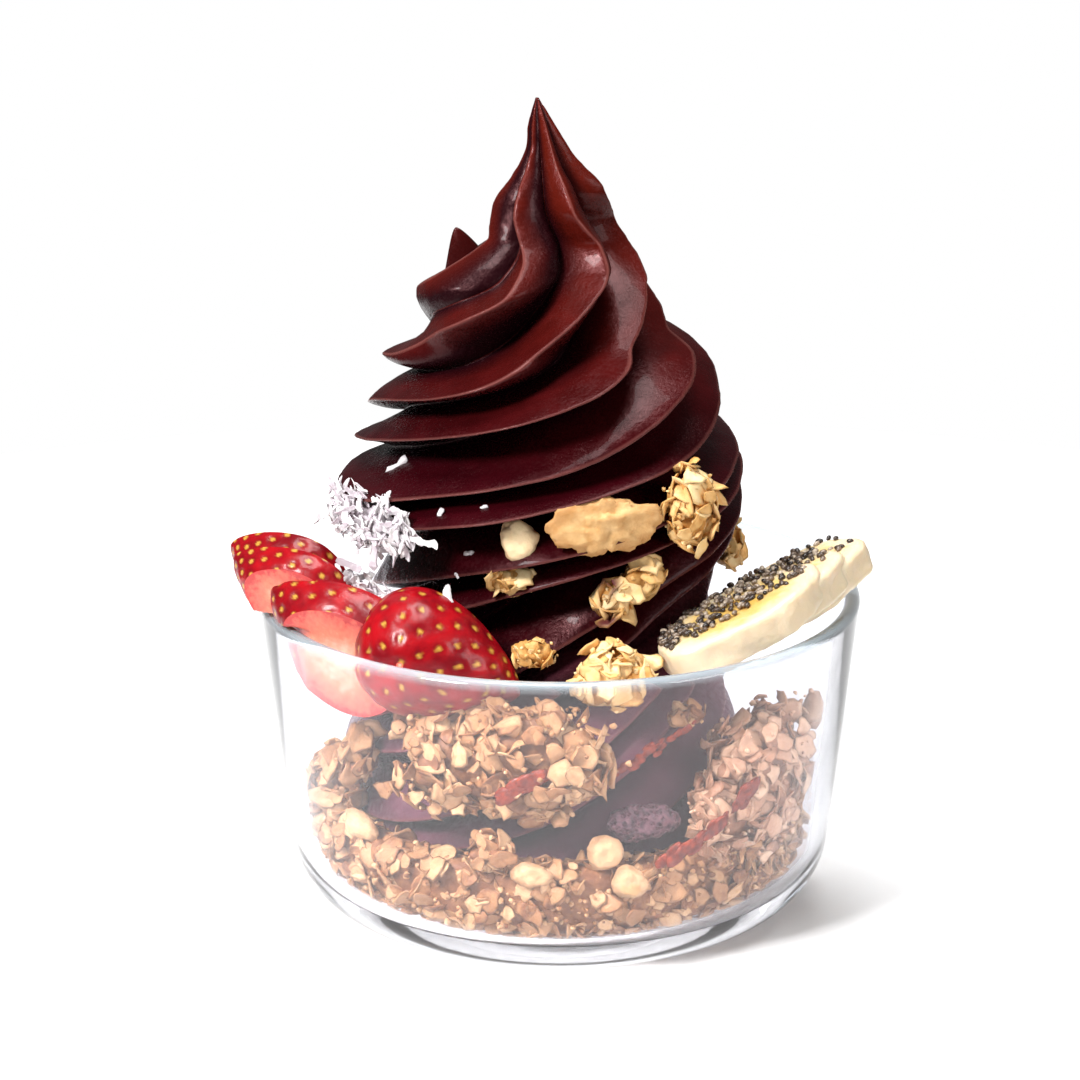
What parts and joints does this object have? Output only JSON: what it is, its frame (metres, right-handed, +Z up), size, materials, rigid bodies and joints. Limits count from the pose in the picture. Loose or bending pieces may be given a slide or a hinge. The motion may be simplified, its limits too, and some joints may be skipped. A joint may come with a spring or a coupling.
{
  "type": "acai bowl",
  "caption": "Swirl of soft frozen acai in a round glass bowl over granola, topped with fanned strawberry, banana slices with chia, nuts and shredded coconut.",
  "frame": {"origin": "centre of the glass bowl's flat underside", "axes": "+Z up along the swirl; the front, with the strawberry left and the banana right, faces -Y; +X is to the viewer's right"},
  "size_m": [0.1586, 0.151, 0.205],
  "materials": {
    "glass": "clear pressed glass with a polished rim",
    "acai": "smooth dark frozen acai, slightly glossy",
    "frozen_chip": "porous frozen acai",
    "granola": "toasted oat clusters",
    "nut": "pale toasted nuts and rolled oats",
    "strawberry": "fresh wet strawberry",
    "banana": "fresh cut banana",
    "coconut": "dry shredded coconut"
  },
  "bodies": {
    "root": {"glass_bowl": "glass", "granola_bed": "granola", "acai_swirl": "acai", "strawberry_half": "strawberry", "strawberry_slice_1": "strawberry", "strawberry_slice_2": "strawberry", "strawberry_slice_3": "strawberry", "banana_slice_1": "banana", "banana_slice_2": "banana", "banana_slice_3": "banana", "coconut_heap": "coconut", "coconut_low": "coconut", "almond_flake": "nut", "hazelnut": "nut", "oat_left": "nut", "oat_front": "nut", "nut_front": "nut", "nut_low": "nut", "acai_chip": "frozen_chip", "granola_front": "granola", "granola_left": "granola", "granola_left_heap": "granola", "granola_right_heap": "granola", "granola_on_swirl": "granola", "granola_stained": "granola", "granola_bits": "granola", "granola_rim_small": "granola", "granola_rim": "granola", "granola_back_right": "granola", "granola_behind_wall": "granola", "granola_low_front": "granola"}
  },
  "joints": []
}
